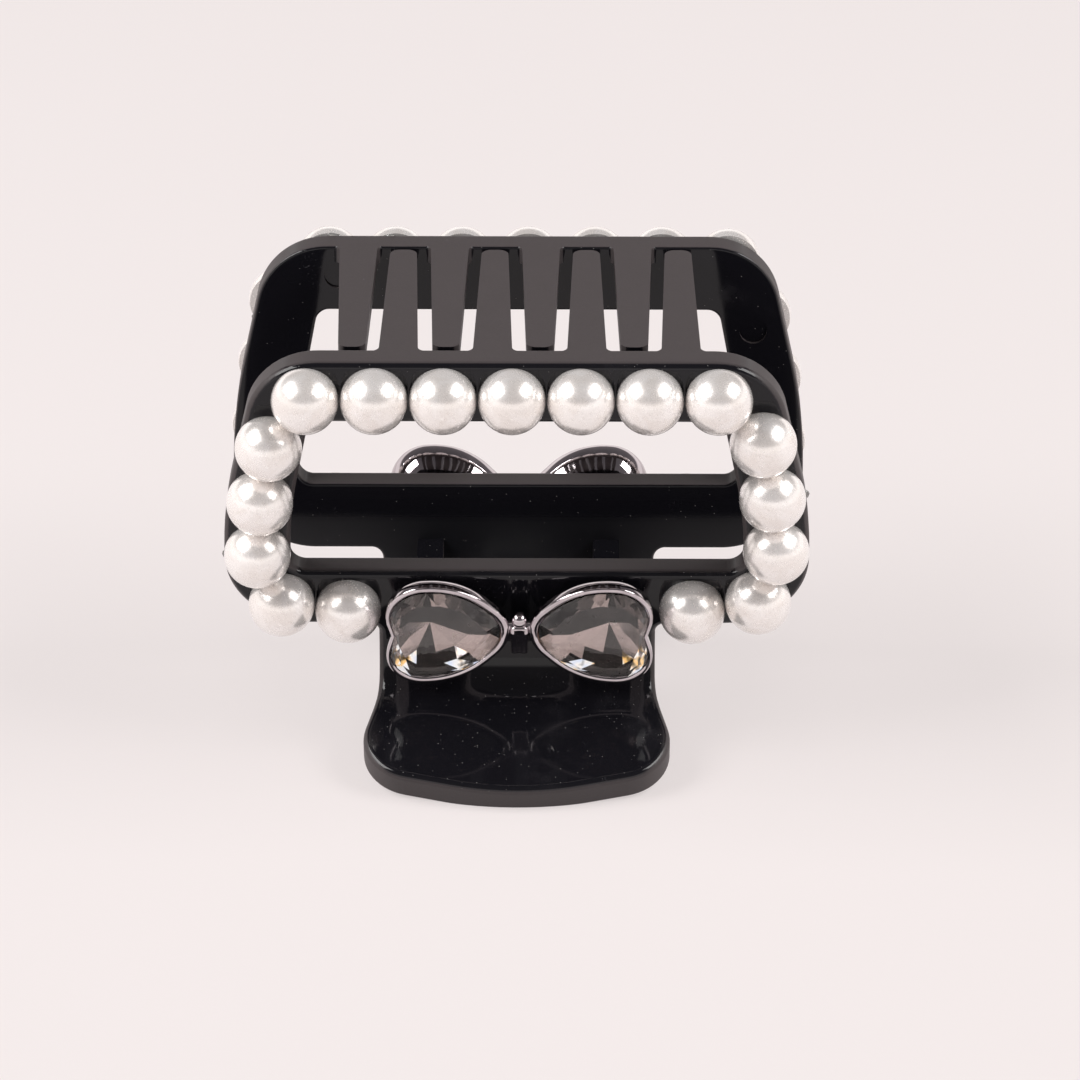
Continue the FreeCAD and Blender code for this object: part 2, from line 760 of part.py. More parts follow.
def spring_path():
    """Leg, coil and leg as one smooth line, the same when turned half round about Z."""
    coil = DIMENSIONS["coil_radius"]
    pitch = DIMENSIONS["coil_pitch"]
    axis = AXIS_Z * DIMENSIONS["hinge_height"]
    to_bend = bend_axis() - axis
    gap = DIMENSIONS["wire_radius"] + DIMENSIONS["spring_rest_gap"]
    wrap = DIMENSIONS["bend_radius"] + DIMENSIONS["wall_thickness"] + gap
    fall = math.asin((coil + wrap) / to_bend.Length) - math.atan2(to_bend.z, to_bend.y)
    turns = DIMENSIONS["coil_whole_turns"] + fall / math.pi
    helix = Part.makeHelix(pitch, pitch * turns, coil)
    helix.rotate(Vector(), AXIS_Y, 90)
    helix.rotate(Vector(), AXIS_X, 180 - math.degrees(fall))
    helix.translate(axis - AXIS_X * (pitch * turns / 2))
    inward = Vector(0, math.sin(fall), math.cos(fall))
    start = axis - AXIS_X * (pitch * turns / 2) + inward * coil
    lead = math.atan2(pitch, 2 * math.pi * coil)
    ahead = Vector(-math.sin(lead), math.cos(lead) * math.cos(fall), -math.cos(lead) * math.sin(fall))
    leg = spring_leg(start, ahead, inward, wrap, fall - math.radians(DIMENSIONS["handle_slope"]))
    other_leg = [edge.transformed(HALF_TURN.toMatrix()) for edge in leg]
    return Part.Wire(Part.__sortEdges__(leg + helix.Edges + other_leg))


def build_spring():
    """A torsion spring round the pin. Each leg presses the underside of one handle outward."""
    path = doc.addObject("Part::Feature", "spring_path")
    path.Shape = spring_path()
    first = path.Shape.OrderedEdges[0]
    begin = path.Shape.OrderedVertexes[0].Point
    along = first.tangentAt(first.Curve.parameter(begin))
    wire = doc.addObject("Part::Circle", "spring_wire")
    bind(wire, "Radius", dim("wire_radius"))
    wire.Placement = Placement(begin, Rotation(AXIS_Z, along))
    spring = doc.addObject("Part::Sweep", "torsion_spring")
    spring.Sections = [wire]
    spring.Spine = (path, [f"Edge{number + 1}" for number in range(len(path.Shape.Edges))])
    spring.Solid = True
    spring.Frenet = False
    return spring


def check(parts):
    """Stop if any object failed or any part is empty or broken."""
    failed = [obj.Name for obj in doc.Objects if "Invalid" in obj.State or "Error" in obj.State]
    if failed:
        raise RuntimeError(f"failed objects: {failed}")
    for part in parts:
        if part.Shape.isNull() or not part.Shape.isValid():
            raise RuntimeError(f"bad shape: {part.Name}")


def write_parts(parts):
    os.makedirs("parts", exist_ok=True)
    for part in parts:
        part.Shape.exportStep(f"parts/{part.Label}.step")


def main():
    fill_sheet()
    back_jaw = build_jaw("back", "outer_lug_start", dim("pin_radius") + dim("pin_running_gap"))
    front_jaw = build_jaw("front", "inner_lug_start", dim("pin_radius"))
    doc.recompute()
    parts = [front_jaw, back_jaw, build_pin(), build_spring()]
    lines = {side: pearl_line(side) for side in ("front", "back")}
    doc.recompute()
    for side, line in lines.items():
        parts += build_pearls(side, line)
        parts += build_bow(side)
    doc.recompute()
    check(parts)
    write_parts(parts)


main()
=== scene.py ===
"""A pearl-edged claw clip with a bow of two hearts, standing closed on its two handles."""

import math
import random

import bmesh
import bpy
from mathutils import Matrix, Vector


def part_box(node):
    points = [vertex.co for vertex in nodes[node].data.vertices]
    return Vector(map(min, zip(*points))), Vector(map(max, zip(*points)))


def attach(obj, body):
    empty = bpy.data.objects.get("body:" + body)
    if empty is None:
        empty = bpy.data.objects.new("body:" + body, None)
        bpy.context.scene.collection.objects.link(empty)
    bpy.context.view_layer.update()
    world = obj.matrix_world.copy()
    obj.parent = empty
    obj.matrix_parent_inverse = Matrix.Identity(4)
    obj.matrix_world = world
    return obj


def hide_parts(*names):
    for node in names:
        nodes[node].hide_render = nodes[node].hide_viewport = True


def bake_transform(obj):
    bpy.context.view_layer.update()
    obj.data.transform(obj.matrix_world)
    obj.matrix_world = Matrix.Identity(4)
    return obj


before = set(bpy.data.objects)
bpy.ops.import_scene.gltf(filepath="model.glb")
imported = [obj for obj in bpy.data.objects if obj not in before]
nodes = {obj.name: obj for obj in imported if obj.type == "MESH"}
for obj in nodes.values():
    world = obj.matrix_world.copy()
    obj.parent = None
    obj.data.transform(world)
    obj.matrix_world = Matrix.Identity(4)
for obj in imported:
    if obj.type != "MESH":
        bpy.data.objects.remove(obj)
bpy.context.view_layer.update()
MM = 0.001
SIDES = ("front", "back")
PEARL_NUMBERS = range(1, 18)
# how far the handles slope from level
HANDLE_SLOPE = math.radians(18)
# the heights between which a jaw's neck becomes its frame
FRAME_FOOT = 26 * MM
FRAME_START = 28 * MM


# ---------------------------------------------------------------- materials

class Shader:
    """A node material under construction, with short calls for the nodes it uses."""

    def __init__(self, name):
        self.material = bpy.data.materials.new(name)
        self.material.use_nodes = True
        self.tree = self.material.node_tree
        self.tree.nodes.clear()
        self.coords = self.tree.nodes.new("ShaderNodeTexCoord")
        self.place = self.coords.outputs["Object"]
        self.normal = self.coords.outputs["Normal"]

    def put(self, socket, value):
        if isinstance(value, bpy.types.NodeSocket):
            self.tree.links.new(value, socket)
        elif socket.type == "RGBA" and len(value) == 3:
            socket.default_value = (*value, 1.0)
        else:
            socket.default_value = value

    def add(self, kind, settings=None, **inputs):
        node = self.tree.nodes.new(kind)
        for key, value in (settings or {}).items():
            setattr(node, key, value)
        for key, value in inputs.items():
            self.put(node.inputs[key.replace("_", " ")], value)
        return node

    def math(self, operation, *values):
        node = self.add("ShaderNodeMath", {"operation": operation})
        for socket, value in zip(node.inputs, values):
            self.put(socket, value)
        return node.outputs[0]

    def step(self, value, low, high, start=0.0, end=1.0):
        """A smooth change from start to end as value goes from low to high."""
        node = self.add("ShaderNodeMapRange", {"interpolation_type": "SMOOTHSTEP"}, Value=value)
        for key, number in (("From Min", low), ("From Max", high), ("To Min", start), ("To Max", end)):
            self.put(node.inputs[key], number)
        return node.outputs[0]

    def blend(self, share, first, second):
        node = self.add("ShaderNodeMix", {"data_type": "RGBA"})
        for index, value in ((0, share), (6, first), (7, second)):
            self.put(node.inputs[index], value)
        return node.outputs[2]

    def noise(self, scale, detail=3.0, roughness=0.5, distortion=0.0, place=None):
        node = self.add("ShaderNodeTexNoise", Vector=place or self.place, Scale=scale, Detail=detail,
                        Roughness=roughness, Distortion=distortion)
        return node.outputs[0]

    def cells(self, scale, place=None, feature="F1"):
        return self.add("ShaderNodeTexVoronoi", {"feature": feature}, Vector=place or self.place, Scale=scale)

    def stretched(self, x, y, z):
        return self.add("ShaderNodeMapping", Vector=self.place, Scale=(x, y, z)).outputs[0]

    def split(self, vector):
        return self.add("ShaderNodeSeparateXYZ", Vector=vector).outputs

    def bump(self, height, strength, distance, normal=None):
        node = self.add("ShaderNodeBump", Height=height, Strength=strength, Distance=distance)
        if normal is not None:
            self.put(node.inputs["Normal"], normal)
        return node.outputs[0]

    def surface(self, **inputs):
        shader = self.add("ShaderNodeBsdfPrincipled", **inputs)
        self.finish(shader.outputs[0])
        return self.material

    def finish(self, socket):
        out = self.tree.nodes.new("ShaderNodeOutputMaterial")
        self.tree.links.new(socket, out.inputs["Surface"])


def jaw_material():
    """Black moulded plastic: polished skins, satin parting faces painted a lighter grey as painted sheen, a
    little dust and rubbing.
    """
    s = Shader("jaw_plastic")
    across, out_normal, upward = s.split(s.normal)
    _, depth, height = s.split(s.place)
    side_wall = s.step(s.math("ABSOLUTE", across), 0.30, 0.62)
    level = s.step(s.math("ABSOLUTE", upward), 0.80, 0.97)
    on_frame = s.step(height, FRAME_FOOT, FRAME_START)
    # the handle's rim: faces that stand square to its sloping plane, from where the bend ends
    lying = s.math("MULTIPLY", upward, math.cos(HANDLE_SLOPE))
    standing = s.math("MULTIPLY", s.math("ABSOLUTE", out_normal), math.sin(HANDLE_SLOPE))
    facing = s.math("ABSOLUTE", s.math("ADD", lying, standing))
    on_handle = s.step(s.math("ABSOLUTE", depth), 24 * MM, 25 * MM)
    below = s.step(height, 13 * MM, 14 * MM, 1.0, 0.0)
    end_wall = s.math("MULTIPLY", s.math("MULTIPLY", on_handle, below), s.step(facing, 0.35, 0.75, 1.0, 0.0))
    # faces picked by which way they face get a real satin roughness and a lighter grey that is painted sheen
    flat_satin_and_sheen = s.math("MAXIMUM", side_wall, s.math("MULTIPLY", level, on_frame))
    satin_and_sheen = s.math("MAXIMUM", flat_satin_and_sheen, s.math("MULTIPLY", end_wall, 0.8))
    facing_in = s.math("LESS_THAN", s.math("MULTIPLY", out_normal, depth), 0.0)
    inside_neck = s.math("MULTIPLY", facing_in, s.step(height, 24 * MM, 28 * MM, 1.0, 0.0))
    grain = s.noise(5200, 2.0, 0.6)
    broad = s.noise(120, 4.0, 0.55)
    speck_cells = s.cells(2700)
    speck = s.step(speck_cells.outputs["Distance"], 0.10, 0.24, 1.0, 0.0)
    on_top = s.step(upward, 0.2, 0.8, 0.978, 0.945)
    chosen = s.math("GREATER_THAN", s.split(speck_cells.outputs["Color"])[0], on_top)
    dusty = s.math("MULTIPLY", speck, chosen)
    hair_cells = s.cells(420, s.stretched(1.0, 0.35, 0.35))
    hair = s.step(hair_cells.outputs["Distance"], 0.02, 0.05, 1.0, 0.0)
    rubbed = s.step(s.noise(60, 5.0, 0.6), 0.56, 0.72)
    gloss_color = s.blend(rubbed, (0.0060, 0.0058, 0.0078), (0.0120, 0.0115, 0.0140))
    # the satin grey, far lighter than the polished black, is painted sheen for the light these faces catch;
    # its grain is real
    satin_painted_sheen_color = s.blend(grain, (0.040, 0.0335, 0.0345), (0.062, 0.052, 0.053))
    color = s.blend(satin_and_sheen, gloss_color, satin_painted_sheen_color)
    on_gloss = s.math("MULTIPLY_ADD", satin_and_sheen, -0.62, 0.72)
    color = s.blend(s.math("MULTIPLY", dusty, on_gloss), color, (0.26, 0.25, 0.24))
    color = s.blend(s.math("MULTIPLY", s.math("MULTIPLY", hair, rubbed), 0.4), color, (0.35, 0.34, 0.33))
    scuff = s.step(s.noise(1300, 4.0, 0.75, 1.5), 0.60, 0.70)
    scuffed = s.math("MULTIPLY", s.math("MULTIPLY", scuff, s.step(s.noise(75, 3.0, 0.5), 0.60, 0.70)), 0.16)
    color = s.blend(scuffed, color, (0.40, 0.39, 0.42))
    gloss_rough = s.math("ADD", s.math("MULTIPLY", broad, 0.05), s.math("MULTIPLY_ADD", rubbed, 0.10, 0.03))
    satin_rough = s.math("MULTIPLY_ADD", broad, 0.12, 0.44)
    rough = s.add("ShaderNodeMix", {"data_type": "FLOAT"})
    for index, value in ((0, satin_and_sheen), (2, gloss_rough), (3, satin_rough)):
        s.put(rough.inputs[index], value)
    rough = s.math("MAXIMUM", rough.outputs[0], s.math("MULTIPLY", dusty, 0.8))
    rough = s.math("MAXIMUM", rough, s.math("MULTIPLY", inside_neck, 0.42))
    fine = s.bump(s.math("MULTIPLY", grain, satin_and_sheen), 0.35, 0.00004)
    waves = s.bump(s.noise(38, 2.0, 0.4), 0.16, 0.0006, fine)
    return s.surface(Base_Color=color, Roughness=rough, IOR=1.38, Normal=waves)


def pearl_material():
    """Pearl lacquer over a plastic bead: a soft metallic sheen with fine speckle under a clear coat."""
    s = Shader("pearl")
    fleck = s.step(s.noise(2600, 2.0, 0.7), 0.50, 0.72)
    cloud = s.noise(240, 4.0, 0.6, 0.6)
    swirl = s.noise(110, 3.0, 0.5, 1.2)
    color = s.blend(s.step(cloud, 0.35, 0.65), (0.85, 0.805, 0.77), (0.92, 0.89, 0.87))
    color = s.blend(s.math("MULTIPLY", fleck, 0.15), color, (0.60, 0.53, 0.46))
    rough = s.math("MULTIPLY_ADD", fleck, 0.05, s.math("MULTIPLY_ADD", swirl, 0.08, 0.21))
    flakes = s.bump(s.noise(3200, 2.0, 0.6), 0.05, 0.00004)
    skin = s.bump(swirl, 0.10, 0.0004, flakes)
    return s.surface(Base_Color=color, Metallic=0.54, Roughness=rough, IOR=1.5, Normal=skin,
                     Coat_Weight=0.9, Coat_Roughness=0.17, Coat_Normal=skin)


def chrome_material():
    """Polished gunmetal plate with faint wear and polishing marks."""
    s = Shader("dark_chrome")
    wear = s.noise(300, 5.0, 0.6)
    scratch = s.noise(900, 3.0, 0.6, 0.0, s.stretched(1.0, 0.08, 0.25))
    color = s.blend(s.step(wear, 0.35, 0.7), (0.50, 0.455, 0.475), (0.62, 0.57, 0.59))
    rough = s.math("MULTIPLY_ADD", s.step(scratch, 0.5, 0.75), 0.08, 0.05)
    uneven = s.bump(s.noise(190, 3.0, 0.5), 0.14, 0.0004)
    fine = s.bump(scratch, 0.08, 0.00003, uneven)
    return s.surface(Base_Color=color, Metallic=1.0, Roughness=rough, Normal=fine)


def stone_material():
    """Clear pressed glass with a pale smoke tint and faint moulding texture."""
    s = Shader("clear_stone")
    tint = s.blend(s.noise(260, 3.0, 0.5), (0.90, 0.86, 0.85), (0.97, 0.945, 0.94))
    texture = s.noise(1400, 3.0, 0.6)
    rough = s.step(texture, 0.45, 0.75, 0.0, 0.07)
    pressed = s.bump(s.noise(420, 2.0, 0.5), 0.08, 0.0002)
    return s.surface(Base_Color=tint, Roughness=rough, IOR=1.50, Specular_IOR_Level=0.2,
                     Transmission_Weight=1.0, Normal=pressed)


def foil_material():
    """The cut back of each stone: mirror facets with a painted reflection, pale or dark by where they sit,
    and on a few of them a painted glint that glows.
    """
    s = Shader("stone_foil")
    # tone: a painted reflection per facet, set pale or dark by where the facet sits
    tone = s.add("ShaderNodeAttribute", {"attribute_name": "tone"}).outputs["Fac"]
    painted_glint = s.add("ShaderNodeAttribute", {"attribute_name": "painted_glint"}).outputs["Fac"]
    patch = s.noise(700, 3.0, 0.6)
    # the painted reflection decides how pale each facet is, with a little random unevenness
    uneven = s.math("MULTIPLY_ADD", s.math("SUBTRACT", patch, 0.5), 0.12, tone)
    color = s.blend(uneven, (0.010, 0.009, 0.008), (0.64, 0.56, 0.535))
    rough = s.step(patch, 0.4, 0.7, 0.10, 0.28)
    crinkle = s.bump(s.noise(800, 3.0, 0.6), 0.10, 0.0001)
    # painted glints: marked facets glow in fire colours, though no lamp lights them
    painted_fire = s.add("ShaderNodeValToRGB", Fac=s.noise(430, 1.0, 0.5))
    stops = painted_fire.color_ramp.elements
    stops[0].position, stops[0].color = 0.38, (1.0, 0.62, 0.22, 1)
    stops[1].position, stops[1].color = 0.66, (0.70, 0.80, 1.0, 1)
    white = stops.new(0.47)
    white.color = (1.0, 0.97, 0.93, 1)
    glow = s.math("MULTIPLY", painted_glint, s.step(s.noise(420, 2.0, 0.6), 0.36, 0.50, 0.1, 1.1))
    return s.surface(Base_Color=color, Metallic=0.75, Roughness=rough, Normal=crinkle,
                     Emission_Color=painted_fire.outputs[0], Emission_Strength=glow)


def steel_material():
    """Drawn steel wire: fine lines along it and a few darker spots."""
    s = Shader("steel_wire")
    lines = s.noise(700, 3.0, 0.6, 0.0, s.stretched(0.15, 1.0, 1.0))
    spots = s.step(s.noise(350, 4.0, 0.7), 0.60, 0.75)
    color = s.blend(lines, (0.46, 0.45, 0.44), (0.62, 0.61, 0.60))
    color = s.blend(s.math("MULTIPLY", spots, 0.5), color, (0.22, 0.19, 0.16))
    rough = s.math("MULTIPLY_ADD", lines, 0.2, 0.2)
    return s.surface(Base_Color=color, Metallic=1.0, Roughness=rough, Normal=s.bump(lines, 0.2, 0.00003))


def glue_material():
    """Clear glue squeezed out from under the trimmings."""
    s = Shader("clear_glue")
    tint = s.blend(s.noise(900, 2.0), (0.86, 0.85, 0.82), (0.96, 0.95, 0.93))
    ripple = s.bump(s.noise(1500, 2.0, 0.5), 0.3, 0.0001)
    rough = s.step(s.noise(2500, 2.0), 0.4, 0.7, 0.03, 0.2)
    return s.surface(Base_Color=tint, Roughness=rough, IOR=1.45, Transmission_Weight=0.85, Normal=ripple)


def floor_material():
    """Pale matt paper with a faint uneven tone, partly lit from behind like a light table."""
    s = Shader("floor_paper")
    tone = s.noise(6, 3.0, 0.5)
    fibre = s.noise(900, 3.0, 0.6)
    color = s.blend(tone, FLOOR_TINT, tuple(c * 1.02 for c in FLOOR_TINT))
    matt = s.add("ShaderNodeBsdfDiffuse", Color=color, Normal=s.bump(fibre, 0.1, 0.0001))
    glow = s.add("ShaderNodeEmission", Color=color, Strength=1.0)
    mix = s.add("ShaderNodeMixShader")
    for socket, value in zip(mix.inputs, (FLOOR_GLOW, matt.outputs[0], glow.outputs[0])):
        s.put(socket, value)
    s.finish(mix.outputs[0])
    return s.material


def dress(obj, material, smooth=True):
    """Give an object its one material."""
    obj.data.materials.clear()
    obj.data.materials.append(material)
    if smooth:
        obj.data.shade_smooth()
    return obj


# ---------------------------------------------------------------- meshes

def make_object(name, points, faces, smooth=True):
    """A mesh object from points in millimetres."""
    mesh = bpy.data.meshes.new(name)
    mesh.from_pydata([Vector(p) * MM for p in points], [], faces)
    mesh.validate()
    work = bmesh.new()
    work.from_mesh(mesh)
    bmesh.ops.recalc_face_normals(work, faces=work.faces)
    work.to_mesh(mesh)
    work.free()
    if smooth:
        mesh.shade_smooth()
    obj = bpy.data.objects.new(name, mesh)
    bpy.context.scene.collection.objects.link(obj)
    return obj


def ring_strip(rings, count):
    """Faces that join equal closed rings in turn, with the first and last filled."""
    faces = []
    for row in range(rings - 1):
        for i in range(count):
            j = (i + 1) % count
            faces.append((row * count + i, row * count + j, (row + 1) * count + j, (row + 1) * count + i))
    faces.append(tuple(range(count)))
    faces.append(tuple((rings - 1) * count + i for i in range(count)))
    return faces


def tube(path, radius, sides):
    """Points and faces of a round tube along a path, carried along without twisting."""
    points = []
    ahead = (path[1] - path[0]).normalized()
    across = ahead.orthogonal().normalized()
    for i, spot in enumerate(path):
        onward = (path[min(i + 1, len(path) - 1)] - path[max(i - 1, 0)]).normalized()
        across = (across - onward * across.dot(onward)).normalized()
        upward = onward.cross(across)
        for k in range(sides):
            angle = 2 * math.pi * k / sides
            points.append(spot + (across * math.cos(angle) + upward * math.sin(angle)) * radius)
    return points, ring_strip(len(path), sides)


# ---------------------------------------------------------------- bow

# corners of the heart's outline: along the bow, up from its middle line, and their radius
HEART = {
    "tip": (-2.4, 0, 6.0),
    "shoulder": (6.8, 9.6, 13.0),
    "lobe": (20.3, 9.6, 5.7),
    "notch": (17.7, 0, 0.8),
}
HEART_MIDDLE = 11.5
HEART_OFFSET = 1.6
HEART_DROOP = 0.0585
HEART_POINTS = 160
BOW_LEAN = math.radians(11)
DOME_RISE = 5.0
DOME_STEPS = 18
KNOT_RISE = 1.3
KNOT_HEIGHT = 4.25
KNOT_RADIUS = 1.25
BARREL_LENGTH = 5.7
BARREL_RADIUS = 1.72
RIB_DEPTH = 0.16
LINK_REACH = 2.6
LINK_RADIUS = 0.85


def rounded_outline(corners, count):
    """Evenly spaced points round a polygon with rounded corners."""
    dense = []
    total = len(corners)
    for i, (x, y, radius) in enumerate(corners):
        here = Vector((x, y))
        before = (Vector(corners[i - 1][:2]) - here).normalized()
        after = (Vector(corners[(i + 1) % total][:2]) - here).normalized()
        half = before.angle(after) / 2
        setback = radius / math.tan(half)
        centre = here + (before + after).normalized() * (radius / math.sin(half))
        start = here + before * setback - centre
        sweep = (math.pi - 2 * half) * (1 if before.cross(after) < 0 else -1)
        for k in range(25):
            dense.append(centre + Matrix.Rotation(sweep * k / 24, 2) @ start)
    lengths = [0.0]
    for a, b in zip(dense, dense[1:] + dense[:1]):
        lengths.append(lengths[-1] + (b - a).length)
    ring = dense + dense[:1]
    points = []
    at = 0
    for k in range(count):
        wanted = lengths[-1] * k / count
        while lengths[at + 1] < wanted:
            at += 1
        share = (wanted - lengths[at]) / max(lengths[at + 1] - lengths[at], 1e-9)
        points.append(ring[at].lerp(ring[at + 1], share))
    return points


def heart_base():
    """The full outline of one heart, from the corners of its upper half and their mirror."""
    upper = [HEART["tip"], HEART["shoulder"], HEART["lobe"], HEART["notch"]]
    lower = [(HEART[k][0], -HEART[k][1], HEART[k][2]) for k in ("lobe", "shoulder")]
    return rounded_outline(upper + lower, HEART_POINTS)


def heart_ring(scale, height, mirror):
    """One heart outline at a scale and height, on one side of the bow."""
    ring = []
    for p in HEART_BASE:
        reach = HEART_MIDDLE + (p.x - HEART_MIDDLE) * scale
        ring.append(Vector((mirror * (reach + HEART_OFFSET), p.y * scale - reach * HEART_DROOP, height)))
    return ring


HEART_BASE = heart_base()


def bow_matrix(side):
    """Bow space to the frame: X along the clip, Y up the jaw, Z outward from its skin."""
    lean = Matrix.Rotation(math.radians(90) + BOW_LEAN, 4, "X")
    turn = Matrix.Rotation(math.pi if side == "back" else 0, 4, "Z")
    return turn @ lean


def fit_to(parts, node):
    """Shift freshly made pieces so that their common box is centred on a CAD node's box."""
    low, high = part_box(node)
    points = [v.co for part in parts for v in part.data.vertices]
    for axis in (0, 1, 2):
        values = [p[axis] for p in points]
        shift = (low[axis] + high[axis] - min(values) - max(values)) / 2
        for part in parts:
            for v in part.data.vertices:
                v.co[axis] += shift
    return parts


def build_setting(side):
    """Two polished heart cups with a raised rim, joined by a ribbed knot."""
    # scale and height, from the middle of the back, over the wall and the rim, down to the cup's floor
    dome = [(math.sin(tilt), DOME_RISE * (1 - math.cos(tilt)))
            for tilt in (math.radians(90 * k / DOME_STEPS) for k in range(DOME_STEPS))]
    profile = dome + [(1.0, 5.15), (1.0, 5.42), (0.996, 5.64), (0.985, 5.80), (0.965, 5.89), (0.945, 5.90),
                      (0.922, 5.86), (0.903, 5.74), (0.892, 5.55), (0.888, 5.20), (0.885, 4.60),
                      (0.86, 3.50), (0.76, 2.50), (0.58, 1.70), (0.30, 1.10), (0.0, 0.90)]
    parts = []
    for mirror in (-1, 1):
        points = []
        for scale, height in profile:
            points += heart_ring(max(scale, 0.001), height, mirror)
        parts.append(make_object(f"{side}_cup", points, ring_strip(len(profile), HEART_POINTS)))
    parts += build_knot(side)
    for part in parts:
        part.data.transform(bow_matrix(side))
    fit_to(parts, f"{side}_bow_setting")
    return join(parts, f"{side}_bow_metal")


def build_knot(side):
    """A round head over a fat ribbed barrel, and the link between the hearts."""
    link_path = [Vector((LINK_REACH * (k / 12 - 1), 0.2, KNOT_HEIGHT + 0.2)) for k in range(25)]
    link = make_object(f"{side}_link", *tube(link_path, LINK_RADIUS, 20))
    return [build_head(side), build_barrel(side), link]


def build_head(side):
    """The knot's ball."""
    points = []
    rows, around = 20, 36
    for row in range(rows + 1):
        angle = math.pi * min(max(row / rows, 0.01), 0.99)
        up = KNOT_RISE + 0.2 + KNOT_RADIUS * math.cos(angle)
        radius = KNOT_RADIUS * math.sin(angle)
        for k in range(around):
            turn = 2 * math.pi * k / around
            points.append((radius * math.cos(turn), up, KNOT_HEIGHT + 0.35 + radius * math.sin(turn)))
    return make_object(f"{side}_knot_head", points, ring_strip(rows + 1, around))


def build_barrel(side):
    """The ribbed barrel under the ball: tapered, with rounded ends."""
    points = []
    rows, around = 36, 96
    for row in range(rows + 1):
        down = row / rows
        up = KNOT_RISE - 0.3 - BARREL_LENGTH * down
        wide = BARREL_RADIUS - 0.40 * down + 0.12 * down ** 4
        wide *= math.sqrt(min(1.0, 0.12 + down * 14)) * math.sqrt(min(1.0, 0.25 + (1 - down) * 16))
        for k in range(around):
            turn = 2 * math.pi * k / around
            rib = 1 - RIB_DEPTH * math.cos(4 * (turn - math.pi / 2)) * min(1.0, 4 * down)
            points.append((wide * rib * math.cos(turn), up, KNOT_HEIGHT + wide * rib * math.sin(turn)))
    return make_object(f"{side}_knot_tail", points, ring_strip(rows + 1, around))


def join(parts, name):
    """Merge mesh objects into one."""
    work = bmesh.new()
    for part in parts:
        work.from_mesh(part.data)
    mesh = bpy.data.meshes.new(name)
    work.to_mesh(mesh)
    work.free()
    for part in parts:
        bpy.data.objects.remove(part)
    obj = bpy.data.objects.new(name, mesh)
    bpy.context.scene.collection.objects.link(obj)
    return obj


def facet_ring(scale, height, mirror, count, shift=0.0):
    """Corners of a faceted heart ring: a few evenly spaced points of the full outline."""
    ring = heart_ring(scale, height, mirror)
    total = len(ring)
    return [ring[int(round((k + shift) * total / count)) % total] for k in range(count)]


TABLE_CORNERS = 14
TABLE_HEIGHT = 6.35
GIRDLE_TOP = 5.25
GIRDLE_LOW = 4.95
FOIL_STEPS = 20


def build_stone(side, label, mirror):
    """A faceted heart stone: a wide flat table, crown facets, a girdle and a flat underside."""
    count = TABLE_CORNERS
    # where the table's, the outer ring's and the lower ring's points begin
    t, o, w = 0, count, 3 * count
    table = facet_ring(0.73, TABLE_HEIGHT, mirror, count, 0.5)
    outer = facet_ring(0.888, GIRDLE_TOP, mirror, count * 2)
    lower = facet_ring(0.888, GIRDLE_LOW, mirror, count * 2)
    points = table + outer + lower
    faces = [tuple(range(count))]
    for k in range(count):
        n = (k + 1) % count
        first, mid, last = o + 2 * k, o + 2 * k + 1, o + (2 * k + 2) % (2 * count)
        faces += [(t + k, first, mid), (t + k, mid, last), (t + k, last, t + n)]
    for k in range(2 * count):
        n = (k + 1) % (2 * count)
        faces.append((o + k, w + k, w + n, o + n))
    faces.append(tuple(w + k for k in range(2 * count)))
    glass = make_object(f"{side}_{label}_glass", points, faces, smooth=False)
    foil = build_foil(side, label, mirror, GIRDLE_LOW - 0.06)
    for part in (glass, foil):
        part.data.transform(bow_matrix(side))
    return glass, foil


def build_foil(side, label, mirror, top):
    """The cut pavilion under the stone: radial facets from the culet, and a broken band round them."""
    rng = random.Random(7 + 2 * SIDES.index(side) + (mirror > 0))
    count = FOIL_STEPS
    rim = facet_ring(0.89, top, mirror, count)
    band = facet_ring(0.70, top - 1.15, mirror, count)
    inner = facet_ring(0.50, top - 1.85, mirror, count // 2, 0.25)
    culet = [Vector((mirror * (HEART_MIDDLE + HEART_OFFSET + 0.4), -0.9, 1.25))]
    points = rim + band + inner + culet
    # where the rim's, the band's, the inner ring's and the culet's points begin
    r, b, i, c = 0, count, 2 * count, 2 * count + count // 2
    faces = []
    for k in range(count):
        n = (k + 1) % count
        faces += [(r + k, r + n, b + k), (r + n, b + n, b + k)]
    for k in range(count // 2):
        n = (k + 1) % (count // 2)
        first, mid, last = b + 2 * k, b + 2 * k + 1, b + (2 * k + 2) % count
        faces += [(i + k, first, mid), (i + k, mid, last, i + n), (i + k, i + n, c)]
    foil = make_object(f"{side}_{label}_foil", points, faces, smooth=False)
    # each facet gets a painted reflection tone and a painted glint mark
    tone = foil.data.attributes.new("tone", "FLOAT", "FACE")
    painted_glint = foil.data.attributes.new("painted_glint", "FLOAT", "FACE")
    middle = Vector((mirror * (HEART_MIDDLE + HEART_OFFSET), -0.7)) * MM
    for face in foil.data.polygons:
        out = (face.center.xy - middle) / (8 * MM)
        angle = math.degrees(math.atan2(out.y, out.x * mirror)) % 360
        tone.data[face.index].value = facet_painted_reflection(out, angle, rng)
        painted_glint.data[face.index].value = facet_painted_glint(out.length, angle, rng)
    return foil


def facet_painted_reflection(out, angle, rng):
    """Painted reflection: a pale band left and right of the culet, dark facets above it and straight below
    the culet.
    """
    if abs(angle - 272) < 24:
        return 0.02
    if -0.60 < out.y < 0.02:
        return rng.uniform(0.75, 1.0)
    return rng.choice((0.0, 0.0, 0.03, 0.08))


def facet_painted_glint(distance, angle, rng):
    """Painted glints: a few facets near the lower edge glow as if they threw light straight back."""
    low = 226 < angle < 242 or 298 < angle < 314
    return 1.0 if low and distance > 0.62 and rng.random() < 0.8 else 0.0


# ---------------------------------------------------------------- spring

